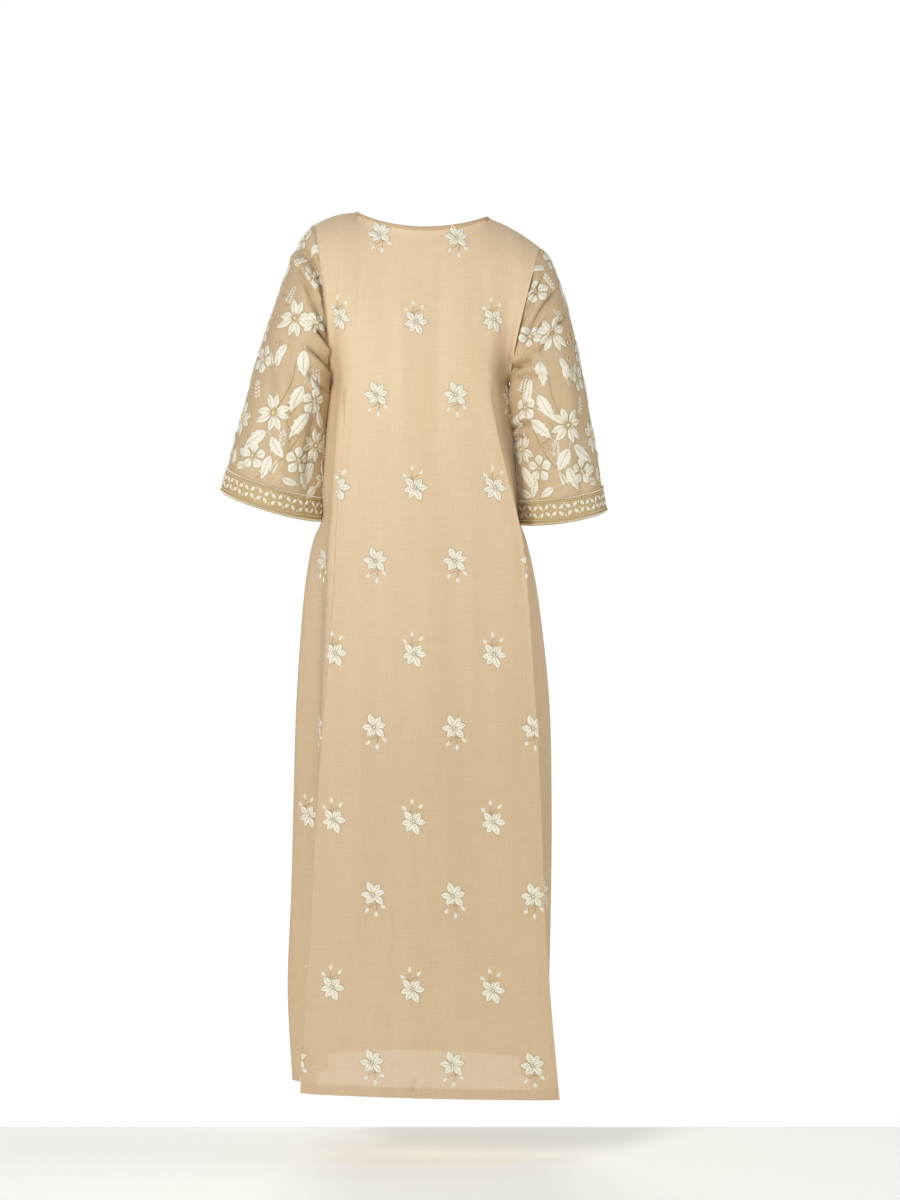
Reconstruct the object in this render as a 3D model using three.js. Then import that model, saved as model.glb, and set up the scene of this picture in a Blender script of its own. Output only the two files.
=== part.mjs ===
// A full-length thobe robe with three-quarter bell sleeves, worn and hollow.
// Millimetres, +Z up, front towards -Y, the wearer's left towards +X.
// The origin is the middle of the neck, at the height where the shoulders hold the robe.
import * as THREE from "three";

// Driving sizes.
const CLOTH = 1.5; // wall of every cut piece
const BORDER_CLOTH = 1.0; // wall of the pieces laid on a panel
const SEAM_CUT = 0.17; // what each of two sewn pieces stops short of their seam
const LAID_GAP = 0.9; // free space under a piece laid on another
const NECK_U = 0.45; // share of a panel's half width that the neckline takes
const NECK_DROP = { back: 27, front: 98 };
const NECK_REACH = { back: 56, front: 62 }; // how far the neckline stands behind or in front of the neck
const BINDING_V = 1.965; // the binding's lower edge, as a panel's v, 8 mm below the neckline
const BINDING_U = 0.507; // and on the shoulder line, as a panel's u
const BORDER_HEIGHT = 42; // embroidered border at each cuff

// Where each shoulder line starts and ends. The right shoulder hangs lower than the left.
const SHOULDERS = {
  left: { neck: [105, 0, 4], tip: [177, 0, -15] },
  right: { neck: [-109, 0, -4], tip: [-198, 0, -54] },
};

// The body's plan at each height, from the underarm to the hem. back and front are depths at the
// middle, ridge is how far out the panel turns its corner, side is the side seam, and tuck is how
// far the cloth between corner and seam is blown out (+) or folded in (-).
const BODY = [
  { z: -285, back: 98, front: 112, ridgeL: 119, ridgeR: 110, sideL: 150, sideR: 147, tuckL: 2, tuckR: 2 },
  { z: -380, back: 99, front: 114, ridgeL: 126, ridgeR: 126, sideL: 154, sideR: 150, tuckL: 4, tuckR: 3 },
  { z: -470, back: 104, front: 118, ridgeL: 132, ridgeR: 148, sideL: 159, sideR: 156, tuckL: 4, tuckR: 0 },
  { z: -508, back: 106, front: 119, ridgeL: 134, ridgeR: 157, sideL: 165, sideR: 163, tuckL: 3, tuckR: -3 },
  { z: -550, back: 109, front: 121, ridgeL: 136, ridgeR: 166, sideL: 182, sideR: 178, tuckL: 0, tuckR: -9 },
  { z: -640, back: 115, front: 125, ridgeL: 140, ridgeR: 174, sideL: 196, sideR: 196, tuckL: -5, tuckR: -16 },
  { z: -803, back: 120, front: 131, ridgeL: 153, ridgeR: 185, sideL: 208, sideR: 214, tuckL: -14, tuckR: -24 },
  { z: -965, back: 125, front: 138, ridgeL: 166, ridgeR: 194, sideL: 213, sideR: 218, tuckL: -22, tuckR: -28 },
  { z: -1128, back: 131, front: 145, ridgeL: 174, ridgeR: 199, sideL: 217, sideR: 217, tuckL: -28, tuckR: -32 },
  { z: -1291, back: 138, front: 152, ridgeL: 184, ridgeR: 209, sideL: 223, sideR: 213, tuckL: -32, tuckR: -34 },
  { z: -1443, back: 146, front: 160, ridgeL: 192, ridgeR: 223, sideL: 215, sideR: 208, tuckL: -34, tuckR: -34 },
];
const HEM_TILT = 0.026; // the hem is lower on the wearer's right
const HEM_RISE = 0.2; // and higher in front
const SIDE_Y = -10; // the side seams lie a little in front of the neck
const CORNER_SHARE = { back: 0.84, front: 0.8 }; // depth of a panel's corner against its middle
const FRONT_CORNER = 0.86; // the front turns its corner nearer the middle than the back does

// Each sleeve: the cuff's middle and half sizes across and along, how far its inner side hangs
// below its outer side and its back below its front, and the pull of the cloth as it leaves the
// shoulder and the underarm and as it comes into the cuff's outer and inner sides.
const SLEEVES = {
  left: {
    cuff: [252, -26, -482], across: 82, along: 82, innerDrop: 25, backDrop: 12,
    offTop: [160, 0, -110], offUnder: [60, 0, -110], intoOuter: [95, -14, -320], intoInner: [8, -14, -190],
  },
  right: {
    cuff: [-240, -26, -501], across: 68, along: 92, innerDrop: 11, backDrop: 12,
    offTop: [-160, 0, -130], offUnder: [-62, 0, -110], intoOuter: [-60, -14, -320], intoInner: [-8, -14, -190],
  },
};
const UPPER_ARM = 26; // how far a sleeve is blown out behind and in front of the arm

const SIDES = { left: 1, right: -1 };
const WAYS = { back: 1, front: -1 };
const ROWS_BELOW = 2 * (BODY.length - 1); // rows of faces from the hem to the underarm
const ROWS_ABOVE = 10; // from the underarm to the shoulder
const NECK_PLACES = [0, 0.2, 0.4, 0.6, 0.8, 0.93, 1]; // columns from the middle to a neck point
const SHOULDER_COLUMNS = 7; // from the binding to the side
const SLEEVE_COLUMNS = 2 * ROWS_ABOVE; // one on each row of the armhole
const SLEEVE_ROWS = 9; // from the armhole to the border, which has two more

const mix = THREE.MathUtils.lerp;
const vector = (list) => new THREE.Vector3(...list);

// A smooth curve through one column of BODY. v is 0 at the hem, its last row, and 1 at the first.
function bodySize(name, v) {
  const place = (1 - v) * (BODY.length - 1);
  const i = Math.min(Math.floor(place), BODY.length - 2);
  const at = (k) => BODY[THREE.MathUtils.clamp(k, 0, BODY.length - 1)][name];
  const slope = (k) => (at(k + 1) - at(k - 1)) / 2;
  return hermite(at(i), slope(i), at(i + 1), slope(i + 1), place - i);
}

// Cubic between a and b that leaves a along fromA and reaches b along intoB.
function hermite(a, fromA, b, intoB, t) {
  const s = t * t * (3 - 2 * t);
  return a + (b - a) * s + fromA * (t - 2 * t * t + t ** 3) + intoB * (t ** 3 - t * t);
}

function hermitePoint(a, fromA, b, intoB, t) {
  const along = (k) => hermite(a[k], fromA[k], b[k], intoB[k], t);
  return new THREE.Vector3(along("x"), along("y"), along("z"));
}

// The body's plan at one height: a loop from the right side seam over the back to the left one, and
// back over the front.
function planLoop(v) {
  const z = bodySize("z", v);
  const half = (face, side) => {
    const [way, out] = [WAYS[face], SIDES[side]];
    const letter = side === "left" ? "L" : "R";
    const depth = bodySize(face, v);
    const ridgeX = bodySize("ridge" + letter, v) * (face === "back" ? 1 : FRONT_CORNER);
    const ridge = new THREE.Vector3(out * ridgeX, way * depth * CORNER_SHARE[face], z);
    const seam = new THREE.Vector3(out * bodySize("side" + letter, v), SIDE_Y, z);
    const outward = new THREE.Vector3(out * (ridge.y - seam.y) * way, out * (seam.x - ridge.x) * way, 0);
    const fold = ridge.clone().lerp(seam, 0.5);
    fold.addScaledVector(outward.normalize(), bodySize("tuck" + letter, v));
    const flat = new THREE.Vector3(ridge.x * 0.52, way * depth * 0.965, z);
    return [seam, fold, ridge, flat, new THREE.Vector3(0, way * depth, z)];
  };
  const stations = [
    ...half("back", "right"),
    ...half("back", "left").slice(1, -1).reverse(),
    ...half("front", "left"),
    ...half("front", "right").slice(1, -1).reverse(),
  ];
  stations.forEach((p) => (p.z += (HEM_TILT * p.x + HEM_RISE * Math.max(-p.y, 0)) * (1 - v) ** 2));
  return new THREE.CatmullRomCurve3(stations, true, "catmullrom", 0.5);
}

// u runs from -1 at the right side seam to 1 at the left one.
const planPoint = (face, u, v) => planLoop(v).getPoint(face === "back" ? (u + 1) / 4 : (3 - u) / 4);

// The panel's top edge: the neckline within NECK_U of the middle, then the shoulder line.
function topPoint(face, u) {
  const way = WAYS[face];
  const ends = u >= 0 ? SHOULDERS.left : SHOULDERS.right;
  const share = Math.abs(u) / NECK_U;
  if (share >= 1) {
    const along = (Math.abs(u) - NECK_U) / (1 - NECK_U);
    const point = vector(ends.neck).lerp(vector(ends.tip), along);
    point.z += 5 * Math.sin(Math.PI * along); // the line is crowned over the shoulder
    return point;
  }
  const round = Math.cos((share * Math.PI) / 2);
  const level = mix(SHOULDERS.right.neck[2], SHOULDERS.left.neck[2], (u / NECK_U + 1) / 2);
  const x = ends.neck[0] * Math.sin((share * Math.PI) / 2);
  return new THREE.Vector3(x, way * NECK_REACH[face] * round, level - NECK_DROP[face] * round ** 1.6);
}

// A panel's point. v runs from 0 at the hem to 1 at the underarm and 2 at the top edge.
function panelPoint(face, u, v) {
  if (v <= 1) return planPoint(face, u, v);
  const way = WAYS[face];
  const out = Math.sign(u);
  const low = planPoint(face, u, 1);
  const top = topPoint(face, u);
  const height = top.z - low.z;
  const edge = Math.abs(u) ** 5; // 1 along the armhole
  const shoulder = THREE.MathUtils.smoothstep(Math.abs(u), 0.1, 0.6);
  const rise = new THREE.Vector3(out * mix(0, -28, edge), way * mix(75 * shoulder, 300, edge), mix(height, 60, edge));
  const tilt = new THREE.Vector3(
    out * mix(0, 24, edge),
    -way * mix(mix(62, 250, shoulder), 290, edge),
    mix(mix(150, 80, shoulder), 70, edge),
  );
  return hermitePoint(low, rise, top, tilt, v - 1);
}

// A sleeve's point. turn goes round from the top (0) over the back (0.25) to the underarm (0.5),
// and down runs from 0 at the armhole to 1 at the border and 2 at the cuff's edge.
function sleevePoint(side, turn, down) {
  const sleeve = SLEEVES[side];
  const out = SIDES[side];
  const angle = turn * 2 * Math.PI;
  const face = turn <= 0.5 ? "back" : "front";
  const along = turn <= 0.5 ? turn * 2 : 2 - turn * 2; // 0 at the top, 1 at the underarm
  const start = panelPoint(face, out, 2 - along);
  start.x += out * SEAM_CUT * 2;
  const end = new THREE.Vector3(
    sleeve.cuff[0] + out * sleeve.across * Math.cos(angle),
    sleeve.cuff[1] + sleeve.along * Math.sin(angle),
    sleeve.cuff[2] + sleeve.innerDrop * Math.cos(angle) - sleeve.backDrop * Math.sin(angle),
  );
  const under = (1 - Math.cos(angle)) / 2;
  const leave = vector(sleeve.offTop).lerp(vector(sleeve.offUnder), under);
  leave.y += UPPER_ARM * 2 * Math.sin(angle);
  const into = vector(sleeve.intoOuter).lerp(vector(sleeve.intoInner), under);
  const border = BORDER_HEIGHT / into.length();
  const reach = down <= 1 ? down * (1 - border) : 1 - border * (2 - down);
  return hermitePoint(start, leave, end, into, reach);
}

// The outward normal at each point of a grid, from its neighbours.
function gridNormals(grid, closed) {
  const at = (r, c) => {
    const row = grid[THREE.MathUtils.clamp(r, 0, grid.length - 1)];
    const n = row.length;
    return row[closed ? (c + n) % n : THREE.MathUtils.clamp(c, 0, n - 1)];
  };
  return grid.map((row, r) =>
    row.map((_, c) => {
      const across = at(r, c + 1).clone().sub(at(r, c - 1));
      const up = at(r + 1, c).clone().sub(at(r - 1, c));
      return across.cross(up).normalize();
    }),
  );
}

// A closed wall whose outer face is the grid and whose inner face lies one thickness inside it.
// Rows run along the first index; a closed grid joins its last column to its first.
function wall(name, grid, { thickness, closed, normals, material }) {
  const facing = normals ?? gridNormals(grid, closed);
  const inner = grid.map((row, r) => row.map((p, c) => p.clone().addScaledVector(facing[r][c], -thickness)));
  const [rows, columns] = [grid.length, grid[0].length];
  const points = [...grid.flat(), ...inner.flat()];
  const outerAt = (r, c) => r * columns + (c % columns);
  const innerAt = (r, c) => rows * columns + outerAt(r, c);
  const faces = [];
  const quad = (a, b, c, d) => faces.push(a, b, c, a, c, d);
  const spans = closed ? columns : columns - 1;
  // The two halves of a panel are split along opposite diagonals, so that they mirror.
  for (let r = 0; r < rows - 1; r++)
    for (let c = 0; c < spans; c++) {
      const corners = [[r, c], [r, c + 1], [r + 1, c + 1], [r + 1, c]];
      if (c < spans / 2) corners.push(corners.shift());
      quad(...corners.map(([i, j]) => outerAt(i, j)));
      const [a, ...rest] = corners.map(([i, j]) => innerAt(i, j));
      quad(a, ...rest.reverse());
    }
  for (let c = 0; c < spans; c++) {
    quad(outerAt(0, c + 1), outerAt(0, c), innerAt(0, c), innerAt(0, c + 1));
    quad(outerAt(rows - 1, c), outerAt(rows - 1, c + 1), innerAt(rows - 1, c + 1), innerAt(rows - 1, c));
  }
  for (let r = 0; r < rows - 1 && !closed; r++) {
    quad(outerAt(r, 0), outerAt(r + 1, 0), innerAt(r + 1, 0), innerAt(r, 0));
    const end = columns - 1;
    quad(outerAt(r + 1, end), outerAt(r, end), innerAt(r, end), innerAt(r + 1, end));
  }
  const geometry = new THREE.BufferGeometry().setFromPoints(points);
  geometry.setIndex(faces);
  geometry.computeVertexNormals();
  const mesh = new THREE.Mesh(geometry, material);
  mesh.name = name;
  return mesh;
}

const sprigCloth = new THREE.MeshStandardMaterial({ color: "#d8bf98", roughness: 0.72, metalness: 0 });
const borderCloth = new THREE.MeshStandardMaterial({ color: "#c9b384", roughness: 0.6, metalness: 0 });
const bindingCloth = new THREE.MeshStandardMaterial({ color: "#cfb48a", roughness: 0.7, metalness: 0 });

// Column positions of a panel from the right to the left, with one on each neck point.
function panelColumns() {
  const half = NECK_PLACES.map((share) => share * NECK_U);
  for (let i = 0; i <= SHOULDER_COLUMNS; i++) half.push(mix(BINDING_U, 1, i / SHOULDER_COLUMNS));
  return [...half.slice(1).reverse().map((u) => -u), ...half];
}

// The v of one of a panel's rows: even at the armhole, and one row on the binding's edge at the neck.
function rowPlace(row, u) {
  if (row <= ROWS_BELOW) return row / ROWS_BELOW;
  const above = row - ROWS_BELOW;
  if (above === ROWS_ABOVE) return 2;
  const atNeck = mix(1, BINDING_V, above / (ROWS_ABOVE - 1));
  return mix(atNeck, 1 + above / ROWS_ABOVE, THREE.MathUtils.smoothstep(Math.abs(u), NECK_U, 1));
}

// A panel of the body, cut back where it is sewn to the other panel and to a sleeve.
function panel(face) {
  const last = ROWS_BELOW + ROWS_ABOVE;
  const columns = face === "back" ? panelColumns().reverse() : panelColumns();
  const grid = Array.from({ length: last + 1 }, (_, r) =>
    columns.map((u) => panelPoint(face, u, rowPlace(r, u))),
  );
  const normals = gridNormals(grid, false);
  grid.forEach((row, r) =>
    columns.forEach((u, c) => {
      const n = normals[r][c];
      const armhole = Math.abs(u) === 1 && r >= ROWS_BELOW;
      if (armhole) n.x = u * Math.max(u * n.x, 0);
      if ((Math.abs(u) === 1 && r <= ROWS_BELOW) || (r === last && Math.abs(u) >= NECK_U)) {
        row[c].y += WAYS[face] * SEAM_CUT;
        n.y = 0;
      }
      n.normalize();
    }),
  );
  return wall(`${face}_panel`, grid, { thickness: CLOTH, closed: false, normals, material: sprigCloth });
}

// Rings of a sleeve from the cuff up. The first three are the border's.
function sleeveRings(side) {
  const downs = [2, 1.5];
  for (let r = 0; r <= SLEEVE_ROWS; r++) downs.push(1 - r / SLEEVE_ROWS);
  const turns = Array.from({ length: SLEEVE_COLUMNS }, (_, c) => c / SLEEVE_COLUMNS);
  if (side === "right") turns.reverse();
  return downs.map((down) => turns.map((turn) => sleevePoint(side, turn, down)));
}

// A sleeve, whose end at the armhole is cut square to the shoulder so that it butts on the body.
function sleeve(side) {
  const rings = sleeveRings(side);
  const normals = gridNormals(rings, true);
  normals.at(-1).forEach((n) => {
    n.x = SIDES[side] * Math.min(SIDES[side] * n.x, 0);
    n.normalize();
  });
  return wall(`sleeve_${side}`, rings, { thickness: CLOTH, closed: true, normals, material: sprigCloth });
}

// A closed band of rings laid on other pieces, moved out to lie just clear of them.
function laidOn(name, rings, material) {
  const normals = gridNormals(rings, true);
  const lift = LAID_GAP + BORDER_CLOTH;
  const outer = rings.map((ring, r) => ring.map((p, c) => p.clone().addScaledVector(normals[r][c], lift)));
  return wall(name, outer, { thickness: BORDER_CLOTH, closed: true, normals, material });
}

// The border laid on the outside of a sleeve's end, made from the sleeve's own points, moved out.
function cuffBorder(side) {
  const rings = sleeveRings(side).slice(0, 3);
  return laidOn(`cuff_border_${side}`, rings, borderCloth);
}

// The binding laid round the neck edge of both panels, from their own points, moved out. At a neck
// point its lower edge is out along the shoulder line.
function neckBinding() {
  const inner = panelColumns().filter((u) => Math.abs(u) < NECK_U);
  const straight = (face, u) => [panelPoint(face, u, BINDING_V), panelPoint(face, u, 2)];
  const corner = (face, out) => [
    panelPoint(face, out * NECK_U, BINDING_V),
    panelPoint(face, out * NECK_U * 0.98, 2),
  ];
  const shoulder = (out) => [panelPoint("back", out * BINDING_U, 2), panelPoint("back", out * NECK_U, 2)];
  const pairs = [
    shoulder(-1),
    corner("front", -1),
    ...inner.map((u) => straight("front", u)),
    corner("front", 1),
    shoulder(1),
    corner("back", 1),
    ...inner.reverse().map((u) => straight("back", u)),
    corner("back", -1),
  ];
  return laidOn("neck_binding", [pairs.map(([low]) => low), pairs.map(([, high]) => high)], bindingCloth);
}

const robe = new THREE.Group();
robe.add(panel("back"), panel("front"), neckBinding());
for (const side of Object.keys(SIDES)) robe.add(sleeve(side), cuffBorder(side));

export default robe;
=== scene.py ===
import math

import bpy
import numpy as np
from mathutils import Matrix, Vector


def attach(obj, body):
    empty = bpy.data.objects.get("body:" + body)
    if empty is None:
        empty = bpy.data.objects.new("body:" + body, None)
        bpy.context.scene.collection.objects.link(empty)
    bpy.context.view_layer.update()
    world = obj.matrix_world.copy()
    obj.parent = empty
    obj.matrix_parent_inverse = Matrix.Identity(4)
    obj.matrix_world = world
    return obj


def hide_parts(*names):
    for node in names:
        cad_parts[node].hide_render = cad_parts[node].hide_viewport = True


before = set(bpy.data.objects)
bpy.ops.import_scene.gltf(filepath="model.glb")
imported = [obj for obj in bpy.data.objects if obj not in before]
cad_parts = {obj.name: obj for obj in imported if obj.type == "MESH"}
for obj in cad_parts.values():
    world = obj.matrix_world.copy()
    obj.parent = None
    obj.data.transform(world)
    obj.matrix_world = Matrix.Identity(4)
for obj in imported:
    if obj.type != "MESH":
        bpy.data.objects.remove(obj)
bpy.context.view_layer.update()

# ---------------------------------------------------------------------------------------------
# The camera stands 5 m behind the robe, at hip height, and looks level at its back. Tones are
# left as the light gives them.

CAMERA_PLACE = (-0.048, 5.0, -0.640)
FOCAL_LENGTH, SENSOR_HEIGHT = 90.36, 36

lens = bpy.data.cameras.new("camera")
lens.sensor_fit = "VERTICAL"
lens.sensor_height = SENSOR_HEIGHT
lens.lens = FOCAL_LENGTH
camera = bpy.data.objects.new("camera", lens)
camera.location = CAMERA_PLACE
camera.rotation_euler = (math.radians(90), 0, math.radians(180))
bpy.context.scene.collection.objects.link(camera)
bpy.context.scene.camera = camera
bpy.context.scene.view_settings.view_transform = "Standard"

# ---------------------------------------------------------------------------------------------
# The studio: a pale painted floor whose far edge lies just past the robe, in a white room. The key
# lamp stands behind the robe on its left and a fill on its right. A cool lamp hangs overhead, and
# one in front shines through the skirt.


def srgb(text, alpha=1.0):
    """A hex colour as the eye reads it, turned to linear light."""
    parts = [int(text[i : i + 2], 16) / 255 for i in (1, 3, 5)]
    return [c / 12.92 if c <= 0.04045 else ((c + 0.055) / 1.055) ** 2.4 for c in parts] + [alpha]


def add(tree, kind, inputs=None, **settings):
    """Adds a node. inputs gives a socket a value, or the socket that feeds it."""
    node = tree.nodes.new("ShaderNode" + kind)
    for name, value in settings.items():
        setattr(node, name, value)
    for name, value in (inputs or {}).items():
        if isinstance(value, bpy.types.NodeSocket):
            tree.links.new(value, node.inputs[name])
        else:
            node.inputs[name].default_value = value
    return node


def new_material(name):
    material = bpy.data.materials.new(name)
    material.use_nodes = True
    material.node_tree.nodes.clear()
    return material, material.node_tree


def mesh_object(name, vertices, faces, materials, uv=None, face_materials=None):
    """An object from vertices in millimetres. uv holds one pair for each vertex."""
    mesh = bpy.data.meshes.new(name)
    mesh.from_pydata((np.asarray(vertices) * 0.001).tolist(), [], faces)
    mesh.polygons.foreach_set("use_smooth", [True] * len(mesh.polygons))
    if uv is not None:
        corners = np.empty(len(mesh.loops), int)
        mesh.loops.foreach_get("vertex_index", corners)
        layer = mesh.uv_layers.new(name="cloth")
        layer.data.foreach_set("uv", np.asarray(uv, float)[corners].ravel())
    for material in materials:
        mesh.materials.append(material)
    if face_materials is not None:
        mesh.polygons.foreach_set("material_index", face_materials)
    mesh.update()
    made = bpy.data.objects.new(name, mesh)
    bpy.context.scene.collection.objects.link(made)
    return made


# Matt emulsion on board: no gloss, and so pale that it all but glows.
FLOOR_HEIGHT, FLOOR_FAR, FLOOR_NEAR, FLOOR_SIDE = -1565, -287, 7000, 4000
paint, tree = new_material("matt_emulsion_floor")
shader = add(tree, "BsdfPrincipled", {"Base Color": srgb("#F4F5EF"), "Roughness": 0.9})
glow = add(tree, "Emission", {"Color": srgb("#F1F3EE"), "Strength": 0.17})
both = add(tree, "AddShader", {0: shader.outputs[0], 1: glow.outputs[0]})
add(tree, "OutputMaterial", {"Surface": both.outputs[0]})
floor = mesh_object(
    "floor",
    [
        (-FLOOR_SIDE, FLOOR_FAR, FLOOR_HEIGHT),
        (FLOOR_SIDE, FLOOR_FAR, FLOOR_HEIGHT),
        (FLOOR_SIDE, FLOOR_NEAR, FLOOR_HEIGHT),
        (-FLOOR_SIDE, FLOOR_NEAR, FLOOR_HEIGHT),
    ],
    [(0, 1, 2, 3)],
    [paint],
)

# The room's walls are lit to white, and give the robe only a part of their light.
room = bpy.data.worlds.new("white_room")
room.use_nodes = True
tree = room.node_tree
tree.nodes.clear()
seen = add(tree, "Background", {"Color": srgb("#FFFFFF"), "Strength": 1.02})
felt = add(tree, "Background", {"Color": srgb("#FBFBFF"), "Strength": 0.31})
path = add(tree, "LightPath")
both = add(tree, "MixShader", {0: path.outputs["Is Camera Ray"], 1: felt.outputs[0], 2: seen.outputs[0]})
add(tree, "OutputWorld", {"Surface": both.outputs[0]})
bpy.context.scene.world = room

# name, place, size, power in watts, colour
LAMPS = (
    ("key_lamp", (2.0, 4.0, 0.55), 1.0, 116, "#FFFBF6"),
    ("fill_lamp", (-4.0, 0.6, -0.4), 2.6, 66, "#FFF9F0"),
    ("top_lamp", (0.9, 2.6, 2.1), 1.4, 26, "#D6E2FF"),
    ("front_lamp", (0.8, -4.0, 1.2), 2.6, 80, "#FFFBF4"),
)
LAMPS_AIM = (0, 0, -0.6)
for name, place, size, power, colour in LAMPS:
    light = bpy.data.lights.new(name, "AREA")
    light.size = size
    light.energy = power
    light.color = srgb(colour)[:3]
    lamp = bpy.data.objects.new(name, light)
    lamp.location = place
    lamp.rotation_euler = (Vector(LAMPS_AIM) - Vector(place)).to_track_quat("-Z", "Y").to_euler()
    bpy.context.scene.collection.objects.link(lamp)

# ---------------------------------------------------------------------------------------------
# The body: a back and a front panel of plain-woven slub silk-cotton, sewn at the shoulders and
# the sides. Each is laid out as a grid that runs across (u, from the wearer's right side seam at
# -1 to the left one at 1) and up (v, the hem at 0, the underarm at 1, the top edge at 2).
# Everything is in millimetres until a mesh is made.

# The plan at each height: depth at the middle of the back and the front, how far out each panel
# turns its corner, where the side seams hang, and how far the cloth between is folded in (-).
BODY_ROWS = (
    # z, back, front, corner left, corner right, seam left, seam right, fold left, fold right
    (-285, 98, 112, 119, 110, 150, 147, 2, 2),
    (-380, 99, 114, 126, 126, 154, 150, 4, 3),
    (-470, 104, 118, 132, 148, 159, 156, 4, 0),
    (-508, 106, 119, 134, 157, 165, 163, 3, -3),
    (-550, 109, 121, 136, 166, 182, 178, 0, -9),
    (-640, 115, 125, 140, 174, 196, 196, -5, -16),
    (-803, 120, 131, 153, 185, 208, 214, -14, -24),
    (-965, 125, 138, 166, 194, 213, 218, -22, -28),
    (-1128, 131, 145, 174, 199, 217, 217, -28, -32),
    (-1291, 138, 152, 184, 209, 223, 213, -32, -34),
    (-1443, 146, 160, 192, 223, 215, 208, -34, -34),
)
BODY_NAMES = (
    "z", "back", "front", "ridge_left", "ridge_right", "side_left", "side_right", "tuck_left", "tuck_right",
)
BODY = {name: np.array(column, float) for name, column in zip(BODY_NAMES, zip(*BODY_ROWS))}
WAY = {"back": 1, "front": -1}
OUT = {"left": 1, "right": -1}
# Each corner as shares of the corner's reach and the panel's depth, and the point that bows the
# cloth between the corner and the middle. The seams hang a little to the front.
CORNER_REACH = {"back": 1, "front": 0.86}
CORNER_DEPTH = {"back": 0.84, "front": 0.8}
BOW_REACH, BOW_DEPTH = 0.52, 0.965
SEAM_Y = -10
# The hem rises a little to the left and to the front.
HEM_RISE_LEFT, HEM_RISE_FRONT = 0.026, 0.2
NECK_U = 0.45
NECK_DROP = {"back": 27, "front": 98}
NECK_REACH = {"back": 56, "front": 62}
NECK_CURVE = 1.6
NECK_POINT = {"left": (105, 0, 4), "right": (-109, 0, -4)}
SHOULDER_TIP = {"left": (177, 0, -15), "right": (-198, 0, -54)}
SHOULDER_CROWN = 5
# The pull of the cloth above the underarm: how it leaves that level outwards, and how it comes in
# and up to the top edge. Each is given at the panel's middle, over the shoulder and at the armhole.
YOKE_LEAVE = (0, 75, 300)
YOKE_ARRIVE = (62, 250, 290)
YOKE_RISE = (150, 80, 70)
ARMHOLE_LEAVE_IN, ARMHOLE_LEAVE_UP, ARMHOLE_ARRIVE_OUT = 28, 60, 24


def mix(a, b, share):
    return a + (b - a) * share


def smooth(value, low, high):
    t = np.clip((value - low) / (high - low), 0, 1)
    return t * t * (3 - 2 * t)


def hermite(a, leave, b, reach, t):
    """A cubic from a to b that leaves along one direction and reaches b along another."""
    return a + (b - a) * t * t * (3 - 2 * t) + leave * (t - 2 * t**2 + t**3) + reach * (t**3 - t * t)


def body_size(name, v):
    sizes = BODY[name]
    place = (1 - v) * (len(sizes) - 1)
    i = np.minimum(place.astype(int), len(sizes) - 2)
    more = np.concatenate([sizes[:1], sizes, sizes[-1:]])
    leave = (sizes[i + 1] - more[i]) / 2
    reach = (more[i + 3] - sizes[i]) / 2
    return hermite(sizes[i], leave, sizes[i + 1], reach, place - i)


def half_plan(face, side, v):
    """One half of a panel's plan, from the side seam to the middle."""
    way, out = WAY[face], OUT[side]
    z = body_size("z", v)
    depth = body_size(face, v)
    ridge_x = out * body_size("ridge_" + side, v) * CORNER_REACH[face]
    ridge_y = way * depth * CORNER_DEPTH[face]
    seam_x = out * body_size("side_" + side, v)
    away = np.stack([out * (ridge_y - SEAM_Y) * way, out * (seam_x - ridge_x) * way])
    away = away / np.hypot(*away) * body_size("tuck_" + side, v)
    places = (
        (seam_x, z * 0 + SEAM_Y),
        ((ridge_x + seam_x) / 2 + away[0], (ridge_y + SEAM_Y) / 2 + away[1]),
        (ridge_x, ridge_y),
        (ridge_x * BOW_REACH, way * depth * BOW_DEPTH),
        (z * 0, way * depth),
    )
    return [np.stack([x, y, z]) for x, y in places]


def plan_points(face, u, v):
    """Points on the loop that runs over the back and returns over the front."""
    loop = half_plan("back", "right", v) + half_plan("back", "left", v)[1:-1][::-1]
    loop = np.array(loop + half_plan("front", "left", v) + half_plan("front", "right", v)[1:-1][::-1])
    rise = HEM_RISE_LEFT * loop[:, 0] + HEM_RISE_FRONT * np.maximum(-loop[:, 1], 0)
    loop[:, 2] += rise * (1 - v) ** 2
    turns = (u + 1) / 4 if face == "back" else (3 - u) / 4
    place = turns * len(loop)
    i = np.floor(place).astype(int)
    a, b, c, d = (loop[(i + k) % len(loop), :, np.arange(len(u))] for k in (-1, 0, 1, 2))
    return hermite(b, (c - a) / 2, c, (d - b) / 2, (place - i)[:, None])


def top_points(face, u):
    """The neckline, then the shoulder line out to the armhole."""
    left = u[:, None] >= 0
    neck = np.where(left, NECK_POINT["left"], NECK_POINT["right"]).astype(float)
    tip = np.where(left, SHOULDER_TIP["left"], SHOULDER_TIP["right"])
    share = np.abs(u) / NECK_U
    turn = np.minimum(share, 1) * math.pi / 2
    level = mix(NECK_POINT["right"][2], NECK_POINT["left"][2], (u / NECK_U + 1) / 2)
    dip = np.stack(
        [
            neck[:, 0] * np.sin(turn),
            WAY[face] * NECK_REACH[face] * np.cos(turn),
            level - NECK_DROP[face] * np.cos(turn).clip(0) ** NECK_CURVE,
        ],
        -1,
    )
    along = np.clip((np.abs(u) - NECK_U) / (1 - NECK_U), 0, 1)
    line = mix(neck, tip, along[:, None])
    line[:, 2] += SHOULDER_CROWN * np.sin(math.pi * along)
    return np.where((share >= 1)[:, None], line, dip)


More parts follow.
